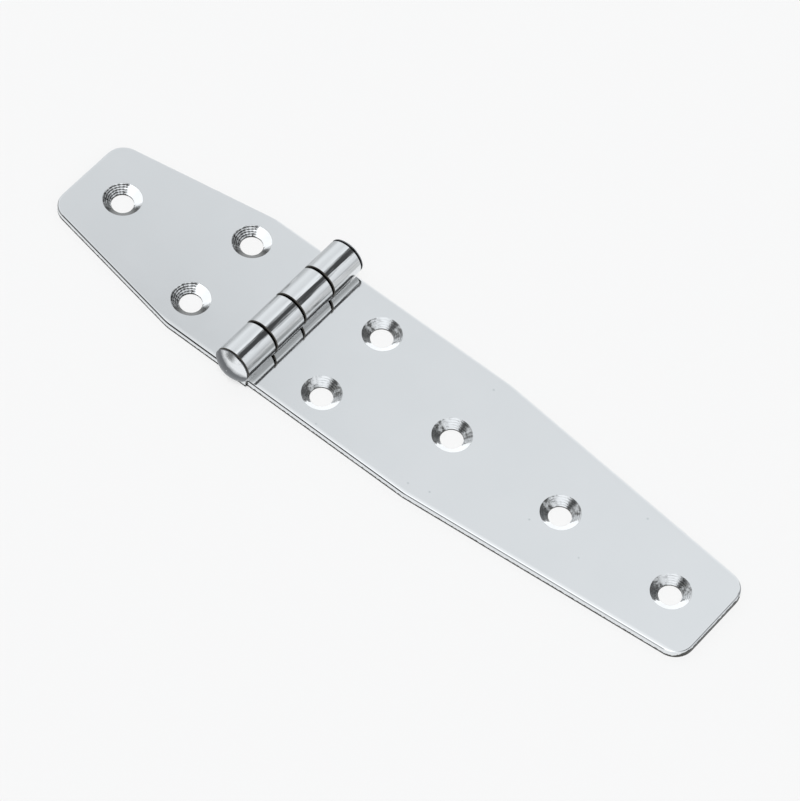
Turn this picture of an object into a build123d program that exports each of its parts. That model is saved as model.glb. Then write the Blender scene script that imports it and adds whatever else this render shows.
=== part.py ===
"""Strap hinge of polished stainless sheet, open flat with the backs of its leaves on the ground plane.

Three pieces: a long leaf and a short leaf, each one blank with tongues rolled up into knuckles,
and a pin with a domed head at each end. +X runs along the long leaf, +Y along the pin, +Z out of
the front faces. The origin is under the middle of the open hinge, in the plane of the backs.
"""

import os
from math import asin, atan2, degrees, isclose, radians, sqrt, tan

from build123d import *

# Sheet and leaf blanks, in millimetres
sheet = 2.0                   # thickness of both leaves
leaf_width = 38.0             # across the leaves, along the pin
long_reach = 119.6            # from the pin's axis to the end of the long leaf
long_straight = 48.3          # from the pin's axis to where the long leaf starts to taper
long_end_width = 24.4         # across the end of the long leaf, corners taken as sharp
short_reach = 60.4
short_straight = 19.6
short_end_width = 23.4
end_corner_radius = 4.8       # corners at the end of each leaf
shoulder_radius = 10.0        # soft corner where the taper starts
front_edge_round = 0.45       # polished edge round the front face
back_edge_break = 0.2         # deburred edge round the back

# Screw holes, places measured from the pin's axis
hole_diameter = 5.3
sink_diameter = 9.2           # rim of the countersink
sink_angle = 100.0            # included angle of the countersink, in degrees
pair_pitch = 21.0             # between the two holes beside the barrel
long_pair_place = 18.2
long_line_place = 46.8        # first of the holes on the centre line
long_line_count = 3
long_end_margin = 12.0        # from the last hole to the end of the long leaf
short_pair_place = 19.8
short_end_margin = 11.2

# Barrel
barrel_length = 39.0          # over all the knuckles, a little proud of the leaves' sides
pin_diameter = 5.0
pin_clearance = 0.05          # radial, between the pin and each knuckle
knuckle_count = 4             # even places belong to the long leaf, odd ones to the short leaf
knuckle_gap = 0.5             # between neighbouring knuckles
knuckle_edge_break = 0.2      # deburred edge at each end of an eye
barrel_lift = 0.7             # underside of the barrel above the backs of the leaves
root_ease = 2.5               # how much wider the curve at a knuckle's root is than the eye
seam = 0.25                   # between the rolled end of a tongue and the front face
slot_clearance = 0.45         # between a knuckle and the edge of the slot that it turns in

# Heads of the pin
head_diameter = 9.0
head_rim = 0.25               # height of the head's straight edge
head_dome = 1.7               # height of the dome above that edge
head_clearance = 0.25         # between a head and the end of the barrel

# Sizes that follow from these
eye_bore = pin_diameter / 2 + pin_clearance
eye_radius = eye_bore + sheet
axis_height = barrel_lift + eye_radius
root_radius = eye_radius + root_ease
root_place = sqrt(barrel_lift * (2 * root_ease - barrel_lift))
front_to_axis = axis_height - sheet
slot_edge = sqrt((eye_radius + slot_clearance) ** 2 - front_to_axis ** 2)
knuckle_length = (barrel_length - (knuckle_count - 1) * knuckle_gap) / knuckle_count
long_line_pitch = (long_reach - long_end_margin - long_line_place) / (long_line_count - 1)
origin_shift = (short_reach - long_reach) / 2


def knuckle_place(index):
    """Middle of a knuckle along the pin, counted from the -Y end."""
    return (knuckle_length - barrel_length) / 2 + index * (knuckle_length + knuckle_gap)


def knuckle_section():
    """Section of a tongue across the pin: flat sheet, a wide curve at the root, then the eye."""
    root_centre = (root_place, root_radius)
    eye_centre = (0, axis_height)
    join = degrees(atan2(axis_height - root_radius, -root_place))
    tip = -degrees(asin((front_to_axis - seam) / eye_radius))
    root_sweep = join + 90
    eye_sweep = tip - 360 - join
    back = Line((slot_edge, 0), (root_place, 0))
    root_outside = CenterArc(root_centre, root_radius, -90, root_sweep)
    eye_outside = CenterArc(eye_centre, eye_radius, join, eye_sweep)
    eye_inside = CenterArc(eye_centre, eye_bore, join, eye_sweep)
    root_inside = CenterArc(root_centre, root_radius - sheet, -90, root_sweep)
    front = Line((root_place, sheet), (slot_edge, sheet))
    rolled_end = Line(eye_outside @ 1, eye_inside @ 1)
    inner_end = Line(front @ 1, back @ 0)
    edges = [back, root_outside, eye_outside, rolled_end, eye_inside, root_inside, front, inner_end]
    return make_face(Curve() + edges)


def knuckle():
    """One rolled tongue, centred on Y = 0, with the outer edges of its eye deburred."""
    tongue = extrude(Plane.XZ * knuckle_section(), knuckle_length / 2, both=True)
    rims = [
        edge
        for edge in tongue.edges().filter_by(GeomType.CIRCLE)
        if isclose(edge.radius, eye_radius)
    ]
    return chamfer(rims, knuckle_edge_break)


def rim_edges(blank, level):
    """Edges round one face of a blank, without the edge beside the barrel."""
    rim = blank.edges().filter_by_position(Axis.Z, level, level)
    return rim.sort_by(Axis.X)[1:]


def leaf_blank(reach, straight, end_width):
    """Flat leaf from the slot edge to its end, its front edges rounded and its back edges deburred."""
    side = leaf_width / 2
    end_side = end_width / 2
    outline = Polyline(
        (slot_edge, -side),
        (straight, -side),
        (reach, -end_side),
        (reach, end_side),
        (straight, side),
        (slot_edge, side),
        close=True,
    )
    face = make_face(outline)
    shoulders = face.vertices().sort_by(Axis.X)[2:4]
    face = fillet(shoulders, shoulder_radius)
    end_corners = face.vertices().sort_by(Axis.X)[-2:]
    face = fillet(end_corners, end_corner_radius)
    blank = extrude(face, sheet)
    blank = fillet(rim_edges(blank, sheet), front_edge_round)
    return chamfer(rim_edges(blank, 0), back_edge_break)


def screw_hole():
    """Cutter for one countersunk hole, with the back of the sheet at Z = 0."""
    sink_depth = (sink_diameter - hole_diameter) / 2 / tan(radians(sink_angle / 2))
    land = sheet - sink_depth
    shank = Cylinder(hole_diameter / 2, sheet, align=(Align.CENTER, Align.CENTER, Align.MIN))
    sink = Cone(
        hole_diameter / 2,
        sink_diameter / 2,
        sink_depth,
        align=(Align.CENTER, Align.CENTER, Align.MIN),
    )
    return shank + Pos(0, 0, land) * sink


def leaf(reach, straight, end_width, holes, knuckles):
    """A leaf along +X from the pin, with its screw holes and the knuckles in the given places."""
    solid = leaf_blank(reach, straight, end_width)
    for index in knuckles:
        solid += Pos(0, knuckle_place(index), 0) * knuckle()
    for place in holes:
        solid -= Pos(*place) * screw_hole()
    return solid


def hole_pair(place):
    """The two holes beside the barrel, one each side of the centre line."""
    return [(place, -pair_pitch / 2), (place, pair_pitch / 2)]


def long_leaf():
    line = [(long_line_place + step * long_line_pitch, 0) for step in range(long_line_count)]
    holes = hole_pair(long_pair_place) + line
    return leaf(long_reach, long_straight, long_end_width, holes, range(0, knuckle_count, 2))


def short_leaf():
    holes = hole_pair(short_pair_place) + [(short_reach - short_end_margin, 0)]
    solid = leaf(short_reach, short_straight, short_end_width, holes, range(1, knuckle_count, 2))
    return mirror(solid, about=Plane.YZ)


def hinge_pin():
    """Plain pin with a shallow domed head at each end, turned about the barrel's axis."""
    seat = barrel_length / 2 + head_clearance
    head_radius = head_diameter / 2
    dome_radius = (head_radius ** 2 + head_dome ** 2) / (2 * head_dome)
    rim_top = seat + head_rim
    crown = rim_top + head_dome
    half_angle = degrees(asin(head_radius / dome_radius))
    dome = CenterArc((0, crown - dome_radius), dome_radius, 90, -half_angle)
    half_shank = Polyline(
        dome @ 1,
        (head_radius, seat),
        (pin_diameter / 2, seat),
        (pin_diameter / 2, 0),
        (0, 0),
        dome @ 0,
    )
    half = revolve(make_face(Curve() + [dome, half_shank]), Axis.Y)
    return Pos(0, 0, axis_height) * (half + mirror(half, about=Plane.XZ))


os.makedirs("parts", exist_ok=True)
pieces = {
    "long_leaf": long_leaf(),
    "short_leaf": short_leaf(),
    "hinge_pin": hinge_pin(),
}
for name, piece in pieces.items():
    placed = Pos(origin_shift, 0, 0) * piece
    placed.label = name
    export_step(placed, f"parts/{name}.step")
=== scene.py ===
"""Looks of the strap hinge: buffed stainless sheet, turned countersinks and a polished pin.

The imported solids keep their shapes. This script gives them their finishes, and adds a floor, a light
tent and a camera at the photograph's angle.
"""

from math import pi, radians

import bpy
import numpy as np
from mathutils import Matrix

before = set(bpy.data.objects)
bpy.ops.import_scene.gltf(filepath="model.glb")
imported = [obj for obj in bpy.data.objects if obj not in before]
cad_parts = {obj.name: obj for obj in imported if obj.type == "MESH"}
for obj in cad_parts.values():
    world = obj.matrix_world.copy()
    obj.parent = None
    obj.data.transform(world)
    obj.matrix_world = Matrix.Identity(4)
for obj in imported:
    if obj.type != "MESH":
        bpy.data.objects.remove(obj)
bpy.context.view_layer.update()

MM = 0.001

# Places on the hinge, in millimetres, in the frame of the CAD model
SHEET = 2.0
PIN_X = -29.6
KNUCKLE_PITCH = 9.875
HOLES = [(-49.4, -10.5), (-49.4, 10.5), (-78.8, 0.0),
         (-11.4, -10.5), (-11.4, 10.5), (17.2, 0.0), (47.6, 0.0), (78.0, 0.0)]
SINK_RADIUS = 4.6
HOLE_RADIUS = 2.65
SINK_LEAN = 0.643             # how far the wall of a countersink leans from level, as a sine
SINK_WALLS = {                # the way each wall of a countersink faces
    "near": (-0.635, 0.773),
    "outer": (1.0, -0.05),
    "far": (-0.3, -0.95),
    "left": (0.906, 0.423),
    "right": (-0.423, -0.906),
}
RIM_CLEAR = 0.02              # a countersink's marks stop this far inside its rim
BACK_CLEAR = 0.15             # and this far above the back
BARREL_CLEAR = 0.1            # what stands higher than this above the front face is the barrel
LEAF_SIDE = 19.0              # from the centre line to the straight sides
LONG_TAPER_X = 18.7           # where the long leaf starts to taper
LONG_TAPER = (0.0950, 0.9955)  # the way its tapered sides face, along X and away from the centre line

# Marks of the making on the sheet: sizes, depths and heights in millimetres
STEEP = 0.6                   # cut edges and hole walls lean less than this towards the front
TORN_HEIGHTS = (0.6, 0.9)     # how far up the cut edge the punch tore the sheet, least and most
TORN_GRAIN = 0.7
TORN_SHADE_END_RAISE = 2.4            # how many times higher the tear and its painted shade go on the ends of the leaves
RING_PITCH = 0.42             # turned rings, drawn coarser than a tool leaves them so that they show
SINK_CUTS = 26.0              # cuts across the rings, all the way round
CUT_STRENGTH = 0.6            # of those cuts beside the rings
RING_SHADE_SHARE = 0.9
CHATTER_SIZE = 0.8
CHATTER_DEPTH = 0.035
FLAT_SLOPE = 0.65             # height that flattens a wall between its two rims, up and down
SIDE_HIGHLIGHT_WIDTH = 1.3           # width of the painted highlight along the sides
MARGIN_FULL = 0.35            # from the side to where that painted highlight is fullest
MARGIN_SHARE = 0.6
STREAK_WIDTH = 0.6            # streaks along the knuckles, drawn coarser than real so that they show
STREAK_STRETCH = 0.03
STREAK_DEPTH = 0.06
WAVE_LENGTH = 7.0
WAVE_DEPTH = 0.16
KNUCKLE_TILT = 0.05           # slope by which one knuckle differs from the next
CLOUD_SIZE = 14.0
HAZE_SIZE = 5.0
SPECK_SPACING = 6.5
SPECK_SIZE = 0.045            # as a share of the spacing
SPECK_LEVEL = 0.45            # specks with a random value under this are left out

# Marks on the heads of the pin
HEAD_CLOUD = 1.5              # in millimetres
HEAD_UNEVEN = 0.12            # how far the cloud moves the border of the painted shade
HEAD_UNSHADED_SIDE = (0.5, 0, 1)   # towards the side left out of the painted shade

# Floor: half its width in metres, the rest in millimetres and shares
FLOOR_HALF = 3.0
FLOOR_DROP = 0.02
FLOOR_SHADE_REACH = 8.0
FLOOR_OPEN_SHARE = 0.855

# View of the photograph: angles in degrees, lengths in millimetres
VIEW_AZIMUTH = 34.370
VIEW_ELEVATION = 56.117
VIEW_ROLL = 5.981
VIEW_CENTRE_X = -30.0
VIEW_ASIDE = 25.085
VIEW_UP = -17.404
VIEW_DISTANCE = 1073.466
LENS = 216.577
SENSOR = 36.0
CLIP_METRES = (0.05, 20.0)

# Light tent: levels by the lean of a direction from straight up towards +X, in degrees
TENT_BANDS = [(-180, 1.0), (-93, 0.9), (-88, 0.8), (-63, 1.1), (-40, 1.0), (-28, 0.94), (-21, 0.98),
              (-14, 1.04), (-3, 1.2), (40, 1.1), (63, 1.0), (75, 0.87), (88, 0.6), (93, 1.0), (180, 1.0)]
TENT_TINT = (0.975, 1.005, 1.03)
TENT_CORNER = (1, -1, 0.25)   # towards the near right corner of the tent
# Patches of the tent: how much lighter or darker, and the smooth steps that bound each one on the parts
# of a direction: X, Y, Z, its lean, its turn about Z from +Y, and how far it points to the corner
TENT_PATCHES = [
    # gap between two panels, over the far half
    (-0.93, [("lean", 0, 10), ("lean", 45, 38), ("Y", -0.25, 0.1), ("Y", 0.8, 0.65)]),
    # dark room past the far right corner and past the near left corner
    (-0.88, [("X", 0.0, 0.15), ("Y", 0.5, 0.62), ("Z", 0.6, 0.4), ("Z", -0.06, 0.0), ("turn", 52, 42)]),
    (-0.96, [("X", 0.08, -0.3), ("Y", 0.1, -0.15), ("Z", 0.95, 0.75), ("Z", -0.1, 0.0),
             ("corner", 0.1, 0.18)]),
    # panel that falls off over the short leaf, and a lighter one overhead
    (-0.3, [("X", -0.32, -0.35), ("X", -0.41, -0.35), ("Y", 0.47, 0.41), ("Z", 0.5, 0.7)]),
    (0.25, [("X", -0.5, -0.32), ("Y", 0.36, 0.1), ("Z", 0.55, 0.75)]),
]


def linear(code):
    """An sRGB hex colour as linear red, green, blue and alpha."""
    channels = np.array([int(code[i:i + 2], 16) for i in (1, 3, 5)]) / 255
    curved = np.where(channels <= 0.04045, channels / 12.92, ((channels + 0.055) / 1.055) ** 2.4)
    return (*curved.tolist(), 1.0)


def per_mm(size):
    """Texture scale that gives a pattern of that size in millimetres on coordinates in metres."""
    return 1 / (size * MM)


def put(tree, kind, inputs=(), **settings):
    """Adds a node with its settings; each input takes a socket to link or a plain value."""
    made = tree.nodes.new("ShaderNode" + kind)
    for name, value in settings.items():
        setattr(made, name, value)
    for key, value in dict(inputs).items():
        if isinstance(value, bpy.types.NodeSocket):
            tree.links.new(value, made.inputs[key])
        else:
            made.inputs[key].default_value = value
    return made


def new_material(name):
    """A node material with only a principled shader, and its tree, shader and texture coordinates."""
    material = bpy.data.materials.new(name)
    material.use_nodes = True
    tree = material.node_tree
    tree.nodes.clear()
    shader = put(tree, "BsdfPrincipled")
    put(tree, "OutputMaterial", {"Surface": shader.outputs["BSDF"]})
    return material, tree, shader, put(tree, "TexCoord")


def buffed_stainless_sheet():
    """Stainless sheet, cold rolled, punched, rolled into knuckles and buffed on a soft wheel.

    It gives the eye a cool, nearly mirror-bright grey with a faint cloudiness, a few faint specks and
    painted highlights along the sides, streaks along the rolled knuckles with painted shade on their flanks
    and ends, countersinks with turned rings, chatter and flat walls, painted highlights and painted shade on
    some countersink walls and rings, painted shade along the short leaf's near edges, and a dark torn line on
    the cut edges, partly painted shade.
    """
    material, tree, shader, coordinates = new_material("buffed_stainless_sheet")
    shader.inputs["Metallic"].default_value = 1.0
    place = coordinates.outputs["Object"]
    axes = put(tree, "SeparateXYZ", {0: place}).outputs
    facing = put(tree, "SeparateXYZ", {0: coordinates.outputs["Normal"]}).outputs

    # Distance to the nearest screw hole, for the turned rings
    flat = put(tree, "VectorMath", {0: place, 1: (1, 1, 0)}, operation="MULTIPLY").outputs[0]
    nearest = None
    for x, y in HOLES:
        reach = put(tree, "VectorMath", {0: flat, 1: (x * MM, y * MM, 0)},
                    operation="DISTANCE").outputs["Value"]
        if nearest is None:
            nearest = reach
        else:
            nearest = put(tree, "Math", {0: nearest, 1: reach}, operation="MINIMUM").outputs[0]
    in_rim = put(tree, "Math", {0: nearest, 1: (SINK_RADIUS - RIM_CLEAR) * MM},
                 operation="LESS_THAN").outputs[0]
    above_back = put(tree, "Math", {0: axes["Z"], 1: BACK_CLEAR * MM}, operation="GREATER_THAN").outputs[0]
    sink = put(tree, "Math", {0: in_rim, 1: above_back}, operation="MULTIPLY").outputs[0]
    ring_turn = put(tree, "Math", {0: nearest, 1: 2 * pi / (RING_PITCH * MM)},
                    operation="MULTIPLY").outputs[0]
    ring = put(tree, "Math", {0: ring_turn}, operation="SINE").outputs[0]
    walls = {}
    for name, (x, y) in SINK_WALLS.items():
        lean = (x / SINK_LEAN, y / SINK_LEAN, 0)
        walls[name] = put(tree, "VectorMath", {0: coordinates.outputs["Normal"], 1: lean},
                          operation="DOT_PRODUCT").outputs["Value"]

    # Torn lower part of the cut edges and of the hole walls, with a ragged upper limit; its dark colour is
    # partly painted shade
    upright = put(tree, "Math", {0: facing["Z"]}, operation="ABSOLUTE").outputs[0]
    wall = put(tree, "Math", {0: upright, 1: STEEP}, operation="LESS_THAN").outputs[0]
    ragged = put(tree, "TexNoise", {"Vector": place, "Scale": per_mm(TORN_GRAIN),
                                    "Detail": 2.0}).outputs["Fac"]
    least, most = TORN_HEIGHTS
    limit = put(tree, "MapRange", {"Value": ragged, "From Min": 0.3, "From Max": 0.7,
                                   "To Min": least * MM, "To Max": most * MM}).outputs[0]
    across = put(tree, "Math", {0: facing["X"]}, operation="ABSOLUTE").outputs[0]
    end_raise = put(tree, "MapRange", {"Value": across, "From Min": 0.5, "From Max": 0.95,
                                     "To Min": 1.0, "To Max": TORN_SHADE_END_RAISE}).outputs[0]
    torn_limit = put(tree, "Math", {0: limit, 1: end_raise}, operation="MULTIPLY").outputs[0]
    low = put(tree, "Math", {0: axes["Z"], 1: torn_limit}, operation="LESS_THAN").outputs[0]
    torn_and_shaded = put(tree, "Math", {0: wall, 1: low}, operation="MULTIPLY").outputs[0]

    # Knuckles: ends with painted shade of the gaps between knuckles, and flanks with painted shade
    on_barrel = put(tree, "Math", {0: axes["Z"], 1: (SHEET + BARREL_CLEAR) * MM},
                    operation="GREATER_THAN").outputs[0]
    along = put(tree, "Math", {0: facing["Y"]}, operation="ABSOLUTE").outputs[0]
    end_on = put(tree, "Math", {0: along, 1: 0.5}, operation="GREATER_THAN").outputs[0]
    knuckle_end = put(tree, "Math", {0: end_on, 1: on_barrel}, operation="MULTIPLY").outputs[0]
    left = put(tree, "MapRange", {"Value": facing["X"], "From Min": -0.5, "From Max": -0.75}).outputs[0]
    right = put(tree, "MapRange", {"Value": facing["X"], "From Min": 0.78, "From Max": 0.88}).outputs[0]
    right_end = put(tree, "MapRange", {"Value": facing["X"], "From Min": 0.97, "From Max": 0.94}).outputs[0]
    flanks = put(tree, "Math", {0: right, 1: right_end, 2: left}, operation="MULTIPLY_ADD").outputs[0]
    flank = put(tree, "Math", {0: flanks, 1: on_barrel}, operation="MULTIPLY").outputs[0]
    along_pin = put(tree, "Mapping", {"Vector": place, "Scale": (1, STREAK_STRETCH, 1)}).outputs[0]
    streak = put(tree, "TexNoise", {"Vector": along_pin, "Scale": per_mm(STREAK_WIDTH),
                                    "Detail": 3.0}).outputs["Fac"]

    # Painted shade in the turned rings on the outer walls of the short leaf's countersinks, whose far
    # walls were cut flatter and get a painted highlight
    short_side = put(tree, "Math", {0: axes["X"], 1: PIN_X * MM}, operation="LESS_THAN").outputs[0]
    short_sink = put(tree, "Math", {0: short_side, 1: sink}, operation="MULTIPLY").outputs[0]
    outer_wall = put(tree, "MapRange", {"Value": walls["outer"], "From Min": 0.38,
                                        "From Max": 0.5}).outputs[0]
    flatter = put(tree, "MapRange", {"Value": walls["far"], "From Min": 0.5, "From Max": 0.85},
                  interpolation_type="SMOOTHSTEP").outputs[0]
    short_flat = put(tree, "Math", {0: flatter, 1: short_sink}, operation="MULTIPLY").outputs[0]
    around = put(tree, "Math", {0: facing["Y"], 1: facing["X"]}, operation="ARCTAN2").outputs[0]
    cut_turn = put(tree, "Math", {0: around, 1: SINK_CUTS}, operation="MULTIPLY").outputs[0]
    cuts = put(tree, "Math", {0: cut_turn}, operation="SINE").outputs[0]
    marks = put(tree, "Math", {0: cuts, 1: CUT_STRENGTH, 2: ring}, operation="MULTIPLY_ADD").outputs[0]
    marked = put(tree, "MapRange", {"Value": marks, "From Min": -0.4, "From Max": 0.5,
                                    "To Max": RING_SHADE_SHARE}).outputs[0]
    marked_wall = put(tree, "Math", {0: marked, 1: outer_wall}, operation="MULTIPLY").outputs[0]
    painted_ring_shade = put(tree, "Math", {0: marked_wall, 1: short_sink}, operation="MULTIPLY").outputs[0]

    # Painted shade along the rounded near edges of the short leaf
    turning = put(tree, "MapRange", {"Value": facing["Z"], "From Min": 0.9, "From Max": 0.75}).outputs[0]
    turned_down = put(tree, "MapRange", {"Value": facing["Z"], "From Min": 0.1, "From Max": 0.3}).outputs[0]
    rounded = put(tree, "Math", {0: turning, 1: turned_down}, operation="MULTIPLY").outputs[0]
    near_side = put(tree, "Math", {0: facing["Y"], 1: -0.3}, operation="LESS_THAN").outputs[0]
    short_edge = put(tree, "Math", {0: short_side, 1: near_side}, operation="MULTIPLY").outputs[0]
    on_leaf = put(tree, "Math", {0: 1.0, 1: on_barrel}, operation="SUBTRACT").outputs[0]
    leaf_edge = put(tree, "Math", {0: short_edge, 1: on_leaf}, operation="MULTIPLY").outputs[0]
    painted_edge_shade = put(tree, "Math", {0: leaf_edge, 1: rounded}, operation="MULTIPLY").outputs[0]

    # Painted highlight along the sides of the front face, half as wide on the far side; the distance
    # to the side is the smaller of the distances to the straight side and to the long leaf's tapered side
    out = put(tree, "Math", {0: axes["Y"]}, operation="ABSOLUTE").outputs[0]
    inset = put(tree, "Math", {0: LEAF_SIDE * MM, 1: out}, operation="SUBTRACT").outputs[0]
    taper_x, taper_out = LONG_TAPER
    narrowing = put(tree, "Math", {0: axes["X"], 1: -taper_x, 2: taper_x * LONG_TAPER_X * MM},
                    operation="MULTIPLY_ADD").outputs[0]
    taper_inset = put(tree, "Math", {0: inset, 1: taper_out, 2: narrowing},
                      operation="MULTIPLY_ADD").outputs[0]
    side_inset = put(tree, "Math", {0: inset, 1: taper_inset}, operation="MINIMUM").outputs[0]
    far_side = put(tree, "Math", {0: axes["Y"], 1: 0.0}, operation="GREATER_THAN").outputs[0]
    halved = put(tree, "Math", {0: side_inset, 1: far_side, 2: side_inset},
                 operation="MULTIPLY_ADD").outputs[0]
    margin = put(tree, "MapRange", {"Value": halved, "From Min": SIDE_HIGHLIGHT_WIDTH * MM,
                                    "From Max": MARGIN_FULL * MM, "To Max": MARGIN_SHARE},
                 interpolation_type="SMOOTHSTEP").outputs[0]
    front = put(tree, "MapRange", {"Value": facing["Z"], "From Min": 0.8, "From Max": 0.95}).outputs[0]
    front_leaf = put(tree, "Math", {0: front, 1: on_leaf}, operation="MULTIPLY").outputs[0]
    painted_side_highlight = put(tree, "Math", {0: margin, 1: front_leaf}, operation="MULTIPLY").outputs[0]

    # Painted shade, mottled like tool chatter, on two sides of the long leaf's countersinks, and a flat side
    # with a painted highlight
    long_sink = put(tree, "Math", {0: sink, 1: short_sink}, operation="SUBTRACT").outputs[0]
    left_wall = put(tree, "MapRange", {"Value": walls["left"], "From Min": 0.66, "From Max": 0.8}).outputs[0]
    right_wall = put(tree, "MapRange", {"Value": walls["right"], "From Min": 0.82,
                                        "From Max": 0.9}).outputs[0]
    shaded_sides = put(tree, "Math", {0: left_wall, 1: right_wall}, operation="MAXIMUM").outputs[0]
    chatter = put(tree, "TexNoise", {"Vector": place, "Scale": per_mm(CHATTER_SIZE),
                                     "Detail": 2.0}).outputs["Fac"]
    mottled = put(tree, "MapRange", {"Value": chatter, "From Min": 0.38, "From Max": 0.6,
                                     "To Min": 0.3, "To Max": 0.9}).outputs[0]
    mottled_wall = put(tree, "Math", {0: mottled, 1: shaded_sides}, operation="MULTIPLY").outputs[0]
    chatter_shade_paint = put(tree, "Math", {0: mottled_wall, 1: long_sink}, operation="MULTIPLY").outputs[0]
    bright_side = put(tree, "MapRange", {"Value": walls["near"], "From Min": 0.4,
                                         "From Max": 0.56}).outputs[0]
    long_flat = put(tree, "Math", {0: bright_side, 1: long_sink}, operation="MULTIPLY").outputs[0]
    # Flattened walls on both leaves, also given a painted highlight in the colour
    flat_highlit_wall = put(tree, "Math", {0: short_flat, 1: long_flat}, operation="MAXIMUM").outputs[0]

    # Colour: neutral grey with a faint cloud and sparse faint specks, painted highlights along the sides and
    # on some countersink walls, painted shade on the flanks, the knuckle ends, some countersink walls and
    # rings and the short leaf's near edges, and dark where the sheet was torn, partly painted shade
    cloud = put(tree, "TexNoise", {"Vector": place, "Scale": per_mm(CLOUD_SIZE),
                                   "Detail": 3.0}).outputs["Fac"]
    plain = put(tree, "Mix", {"Factor": cloud, 6: linear("#d7d9da"), 7: linear("#dcddde")},
                data_type="RGBA").outputs[2]
    pit = put(tree, "TexVoronoi", {"Vector": place, "Scale": per_mm(SPECK_SPACING)})
    pit_near = put(tree, "Math", {0: pit.outputs["Distance"], 1: SPECK_SIZE},
                   operation="LESS_THAN").outputs[0]
    pit_pick = put(tree, "SeparateColor", {0: pit.outputs["Color"]}).outputs[0]
    pit_kept = put(tree, "Math", {0: pit_pick, 1: SPECK_LEVEL}, operation="GREATER_THAN").outputs[0]
    speck = put(tree, "Math", {0: pit_near, 1: pit_kept}, operation="MULTIPLY").outputs[0]
    # Near walls of the countersinks: painted highlight on the long leaf, painted shade on the short leaf
    near_facing = put(tree, "MapRange", {"Value": walls["near"], "From Min": 0.2, "From Max": 0.6}).outputs[0]
    near_wall_light_and_shade = put(tree, "Mix", {"Factor": short_side, 6: linear("#fafafa"), 7: linear("#777775")},
                    data_type="RGBA").outputs[2]
    turned = put(tree, "Mix", {"Factor": near_facing, 6: linear("#d4d5d6"), 7: near_wall_light_and_shade},
                 data_type="RGBA").outputs[2]
    # Painted shade on the knuckles' flanks, broken by streaks
    streaky = put(tree, "MapRange", {"Value": streak, "From Min": 0.3, "From Max": 0.7,
                                     "To Min": 0.4}).outputs[0]
    painted_flank_shade = put(tree, "Math", {0: flank, 1: streaky}, operation="MULTIPLY").outputs[0]
    colour = plain
    for share, finish in ((speck, linear("#cccfd0")), (painted_side_highlight, linear("#ffffff")),
                          (wall, linear("#ececec")), (painted_edge_shade, linear("#8f8f8d")), (sink, turned),
                          (flat_highlit_wall, linear("#ffffff")), (painted_ring_shade, linear("#3b3b39")),
                          (chatter_shade_paint, linear("#6b6b69")), (painted_flank_shade, linear("#a7a8a7")),
                          (knuckle_end, linear("#55524d")), (torn_and_shaded, linear("#4f4d49"))):
        colour = put(tree, "Mix", {"Factor": share, 6: colour, 7: finish}, data_type="RGBA").outputs[2]
    tree.links.new(colour, shader.inputs["Base Color"])

    # Roughness: polished, a little cloudier in the turned rings, dull where torn or left rough
    haze = put(tree, "TexNoise", {"Vector": place, "Scale": per_mm(HAZE_SIZE), "Detail": 4.0}).outputs["Fac"]
    rough = put(tree, "MapRange", {"Value": haze, "From Min": 0.3, "From Max": 0.7,
                                   "To Min": 0.06, "To Max": 0.12}).outputs[0]
    for share, finish in ((sink, 0.24), (knuckle_end, 0.4), (torn_and_shaded, 0.45)):
        rough = put(tree, "Mix", {"Factor": share, 2: rough, 3: finish}, data_type="FLOAT").outputs[0]
    tree.links.new(rough, shader.inputs["Roughness"])

    # Heights in millimetres: turned rings with chatter, but not on the near walls and the flattened walls
    chatter_depth = put(tree, "MapRange", {"Value": chatter, "From Min": 0.4, "From Max": 0.65,
                                           "To Min": 0.0, "To Max": CHATTER_DEPTH}).outputs[0]
    smooth_wall = put(tree, "Math", {0: near_facing, 1: flat_highlit_wall}, operation="MAXIMUM").outputs[0]
    rough_wall = put(tree, "Math", {0: 1.0, 1: smooth_wall}, operation="SUBTRACT").outputs[0]
    ring_height = put(tree, "Math", {0: ring, 1: chatter_depth}, operation="MULTIPLY").outputs[0]
    wall_height = put(tree, "Math", {0: ring_height, 1: rough_wall}, operation="MULTIPLY").outputs[0]
    sink_height = put(tree, "Math", {0: wall_height, 1: sink}, operation="MULTIPLY").outputs[0]

    # Walls that were cut flatter, and carry a painted highlight in the colour: the far ones on the short leaf
    # and the near ones on the long leaf
    flat_slope = put(tree, "MapRange", {"Value": nearest, "From Min": HOLE_RADIUS * MM,
                                        "From Max": SINK_RADIUS * MM,
                                        "To Min": FLAT_SLOPE, "To Max": -FLAT_SLOPE}).outputs[0]
    turned_height = put(tree, "Math", {0: flat_highlit_wall, 1: flat_slope, 2: sink_height},
                        operation="MULTIPLY_ADD").outputs[0]

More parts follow.
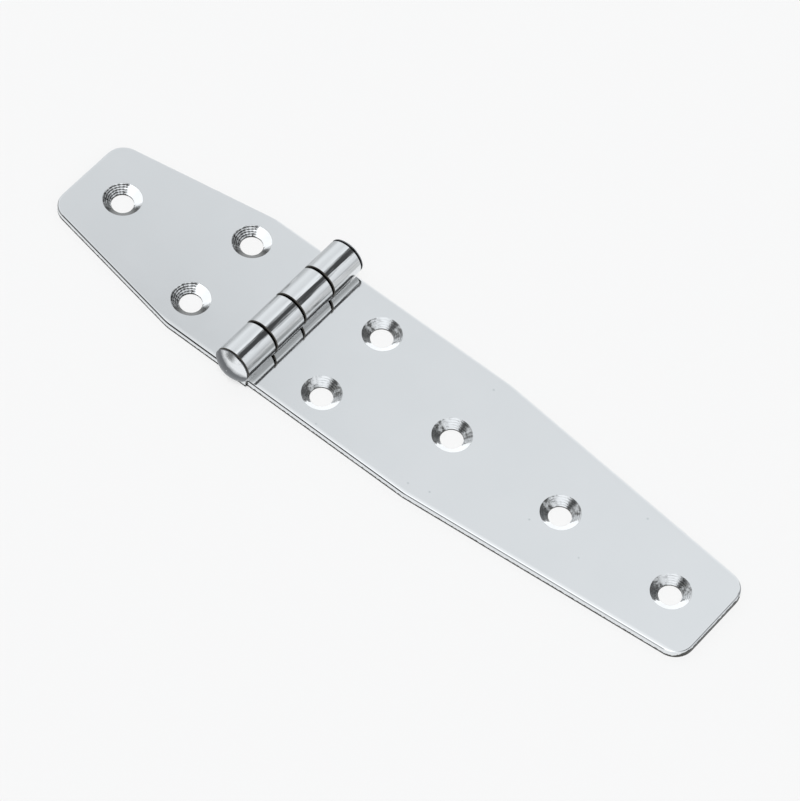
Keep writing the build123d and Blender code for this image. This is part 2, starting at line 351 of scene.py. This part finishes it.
    # Streaks and slight waves along the rolled knuckles, and a slight tilt of each one
    wave = put(tree, "TexNoise", {"Vector": place, "Scale": per_mm(WAVE_LENGTH),
                                  "Detail": 1.0}).outputs["Fac"]
    streak_depth = put(tree, "Math", {0: streak, 1: STREAK_DEPTH}, operation="MULTIPLY").outputs[0]
    rolled = put(tree, "Math", {0: wave, 1: WAVE_DEPTH, 2: streak_depth}, operation="MULTIPLY_ADD").outputs[0]
    in_knuckles = put(tree, "Math", {0: axes["Y"], 1: 1 / (KNUCKLE_PITCH * MM)},
                      operation="MULTIPLY").outputs[0]
    knuckle = put(tree, "Math", {0: in_knuckles}, operation="FLOOR").outputs[0]
    pick = put(tree, "TexWhiteNoise", {"W": knuckle}, noise_dimensions="1D").outputs["Value"]
    tilt = put(tree, "MapRange", {"Value": pick, "To Min": -KNUCKLE_TILT, "To Max": KNUCKLE_TILT}).outputs[0]
    aside = put(tree, "Math", {0: axes["X"], 1: 1 / MM, 2: -PIN_X}, operation="MULTIPLY_ADD").outputs[0]
    tilted = put(tree, "Math", {0: tilt, 1: aside, 2: rolled}, operation="MULTIPLY_ADD").outputs[0]
    rolled_height = put(tree, "Math", {0: tilted, 1: on_barrel}, operation="MULTIPLY").outputs[0]
    height = put(tree, "Math", {0: turned_height, 1: rolled_height}, operation="ADD").outputs[0]
    bump = put(tree, "Bump", {"Height": height, "Distance": MM})
    tree.links.new(bump.outputs[0], shader.inputs["Normal"])
    return material


def polished_pin_steel():
    """Stainless pin with its heads pressed to a dome and buffed.

    It gives the eye bright heads with duller upper rims, painted shade on the lower left side of the near
    one, and a dull shank.
    """
    material, tree, shader, coordinates = new_material("polished_pin_steel")
    shader.inputs["Metallic"].default_value = 1.0
    place = coordinates.outputs["Object"]
    cloud = put(tree, "TexNoise", {"Vector": place, "Scale": per_mm(HEAD_CLOUD),
                                   "Detail": 3.0}).outputs["Fac"]
    facing = put(tree, "SeparateXYZ", {0: coordinates.outputs["Normal"]}).outputs
    along = put(tree, "Math", {0: facing["Y"]}, operation="ABSOLUTE").outputs[0]
    shank = put(tree, "Math", {0: along, 1: 0.2}, operation="LESS_THAN").outputs[0]
    # Painted shade on the lower left of the near head, and a dull grey shank
    near_head = put(tree, "Math", {0: facing["Y"], 1: -0.5}, operation="LESS_THAN").outputs[0]
    upper = put(tree, "VectorMath", {0: coordinates.outputs["Normal"], 1: HEAD_UNSHADED_SIDE},
                operation="DOT_PRODUCT").outputs["Value"]
    uneven = put(tree, "Math", {0: cloud, 1: HEAD_UNEVEN, 2: upper}, operation="MULTIPLY_ADD").outputs[0]
    lower = put(tree, "MapRange", {"Value": uneven, "From Min": 0.46, "From Max": 0.26}).outputs[0]
    painted_head_shade = put(tree, "Math", {0: lower, 1: near_head}, operation="MULTIPLY").outputs[0]
    shank_dull_and_head_shade = put(tree, "Math", {0: painted_head_shade, 1: shank}, operation="MAXIMUM").outputs[0]
    colour = put(tree, "Mix", {"Factor": shank_dull_and_head_shade, 6: linear("#f0f0f0"), 7: linear("#707173")},
                 data_type="RGBA")
    tree.links.new(colour.outputs[2], shader.inputs["Base Color"])
    rim = put(tree, "MapRange", {"Value": facing["Z"], "From Min": 0.42, "From Max": 0.56}).outputs[0]
    duller = put(tree, "Math", {0: shank_dull_and_head_shade, 1: rim}, operation="MAXIMUM").outputs[0]
    polish = put(tree, "MapRange", {"Value": duller, "To Min": 0.12, "To Max": 0.32})
    tree.links.new(polish.outputs[0], shader.inputs["Roughness"])
    return material


def white_floor():
    """Wide matt white floor at the backs of the leaves: a square, just under them.

    Where it lies open, the eye and the metal see most of its white from the backdrop, so it stays even;
    in slots and under edges it is dark, as far as the light is kept out.
    """
    signs = np.array([(-1, -1), (1, -1), (1, 1), (-1, 1)])
    corners = np.column_stack([signs * FLOOR_HALF, np.full(len(signs), -FLOOR_DROP * MM)])
    mesh = bpy.data.meshes.new("studio_floor")
    mesh.from_pydata(corners.tolist(), [], [(0, 1, 2, 3)])
    floor = bpy.data.objects.new("studio_floor", mesh)
    bpy.context.scene.collection.objects.link(floor)
    material = bpy.data.materials.new("matt_white_floor")
    material.use_nodes = True
    tree = material.node_tree
    tree.nodes.clear()
    matt = put(tree, "BsdfDiffuse", {"Color": linear("#d5d5d5")}).outputs[0]
    clear = put(tree, "BsdfTransparent").outputs[0]
    path = put(tree, "LightPath").outputs
    mirrored = put(tree, "Math", {0: path["Is Glossy Ray"], 1: path["Is Transmission Ray"]},
                   operation="MAXIMUM").outputs[0]
    seen = put(tree, "Math", {0: path["Is Camera Ray"], 1: mirrored}, operation="MAXIMUM").outputs[0]
    open_sky = put(tree, "AmbientOcclusion", {"Distance": FLOOR_SHADE_REACH * MM}, samples=8).outputs["AO"]
    lit = put(tree, "MapRange", {"Value": open_sky, "From Min": 0.08, "From Max": 0.4,
                                 "To Max": FLOOR_OPEN_SHARE}).outputs[0]
    share = put(tree, "Math", {0: seen, 1: lit}, operation="MULTIPLY").outputs[0]
    mixed = put(tree, "MixShader", {0: share, 1: matt, 2: clear}).outputs[0]
    put(tree, "OutputMaterial", {"Surface": mixed})
    mesh.materials.append(material)


def light_tent():
    """World of a light tent: the camera sees it as plain white, and the metal mirrors its panels.

    Bands of white panels run along the pin. Smooth patches on them make a dark gap between two panels,
    dark room past two corners, a panel that falls off and a lighter one overhead.
    """
    world = bpy.data.worlds.new("light_tent")
    bpy.context.scene.world = world
    world.use_nodes = True
    tree = world.node_tree
    tree.nodes.clear()
    towards = put(tree, "TexCoord").outputs["Generated"]
    axes = put(tree, "SeparateXYZ", {0: towards}).outputs
    lean = put(tree, "Math", {0: axes["X"], 1: axes["Z"]}, operation="ARCTAN2").outputs[0]
    lean_degrees = put(tree, "Math", {0: lean}, operation="DEGREES").outputs[0]
    turn = put(tree, "Math", {0: axes["X"], 1: axes["Y"]}, operation="ARCTAN2").outputs[0]
    turn_degrees = put(tree, "Math", {0: turn}, operation="DEGREES").outputs[0]
    corner = put(tree, "VectorMath", {0: towards, 1: TENT_CORNER}, operation="DOT_PRODUCT").outputs["Value"]
    parts = {"X": axes["X"], "Y": axes["Y"], "Z": axes["Z"], "lean": lean_degrees, "turn": turn_degrees,
             "corner": corner}
    across = put(tree, "MapRange", {"Value": lean, "From Min": -pi, "From Max": pi}).outputs[0]
    ramp = put(tree, "ValToRGB", {"Fac": across})
    elements = ramp.color_ramp.elements
    while len(elements) > 1:
        elements.remove(elements[-1])
    for index, (angle, level) in enumerate(TENT_BANDS):
        spot = (angle + 180) / 360
        element = elements[0] if index == 0 else elements.new(spot)
        element.position = spot
        element.color = (*(level * np.array(TENT_TINT)).tolist(), 1)
    strength = 1.0
    for change, steps in TENT_PATCHES:
        patch = change
        for part, start, end in steps:
            step = put(tree, "MapRange", {"Value": parts[part], "From Min": start, "From Max": end},
                       interpolation_type="SMOOTHSTEP").outputs[0]
            patch = put(tree, "Math", {0: step, 1: patch}, operation="MULTIPLY").outputs[0]
        changed = put(tree, "Math", {0: 1.0, 1: patch}, operation="ADD").outputs[0]
        strength = put(tree, "Math", {0: changed, 1: strength}, operation="MULTIPLY").outputs[0]
    glow = put(tree, "Background", {"Color": ramp.outputs["Color"], "Strength": strength}).outputs[0]
    white = put(tree, "Background", {"Color": linear("#ffffff"), "Strength": 1.0}).outputs[0]
    seen = put(tree, "LightPath").outputs["Is Camera Ray"]
    mixed = put(tree, "MixShader", {0: seen, 1: glow, 2: white}).outputs[0]
    put(tree, "OutputWorld", {"Surface": mixed})


def photo_camera():
    """Camera at the photograph's angle, turned about its own axis by the roll."""
    azimuth, elevation, roll = radians(VIEW_AZIMUTH), radians(VIEW_ELEVATION), radians(VIEW_ROLL)
    level_share = np.cos(elevation)
    back = np.array([np.sin(azimuth) * level_share, -np.cos(azimuth) * level_share, np.sin(elevation)])
    level = np.array([np.cos(azimuth), np.sin(azimuth), 0.0])
    upright = np.cross(back, level)
    right = np.cos(roll) * level + np.sin(roll) * upright
    up = -np.sin(roll) * level + np.cos(roll) * upright
    centre = np.array([VIEW_CENTRE_X, 0, 0])
    place = (VIEW_ASIDE * right + VIEW_UP * up + VIEW_DISTANCE * back + centre) * MM
    turn = np.eye(4)
    turn[:3, 0], turn[:3, 1], turn[:3, 2], turn[:3, 3] = right, up, back, place
    data = bpy.data.cameras.new("photo_camera")
    data.lens = LENS
    data.sensor_width = SENSOR
    data.sensor_fit = "HORIZONTAL"
    data.clip_start, data.clip_end = CLIP_METRES
    camera = bpy.data.objects.new("photo_camera", data)
    bpy.context.scene.collection.objects.link(camera)
    camera.matrix_world = Matrix(turn.tolist())
    bpy.context.scene.camera = camera


sheet_metal = buffed_stainless_sheet()
finishes = {"long_leaf": sheet_metal, "short_leaf": sheet_metal, "hinge_pin": polished_pin_steel()}
for node, finish in finishes.items():
    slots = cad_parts[node].material_slots
    for slot in slots:
        slot.material = finish

white_floor()
light_tent()
photo_camera()
bpy.context.scene.view_settings.view_transform = "Standard"
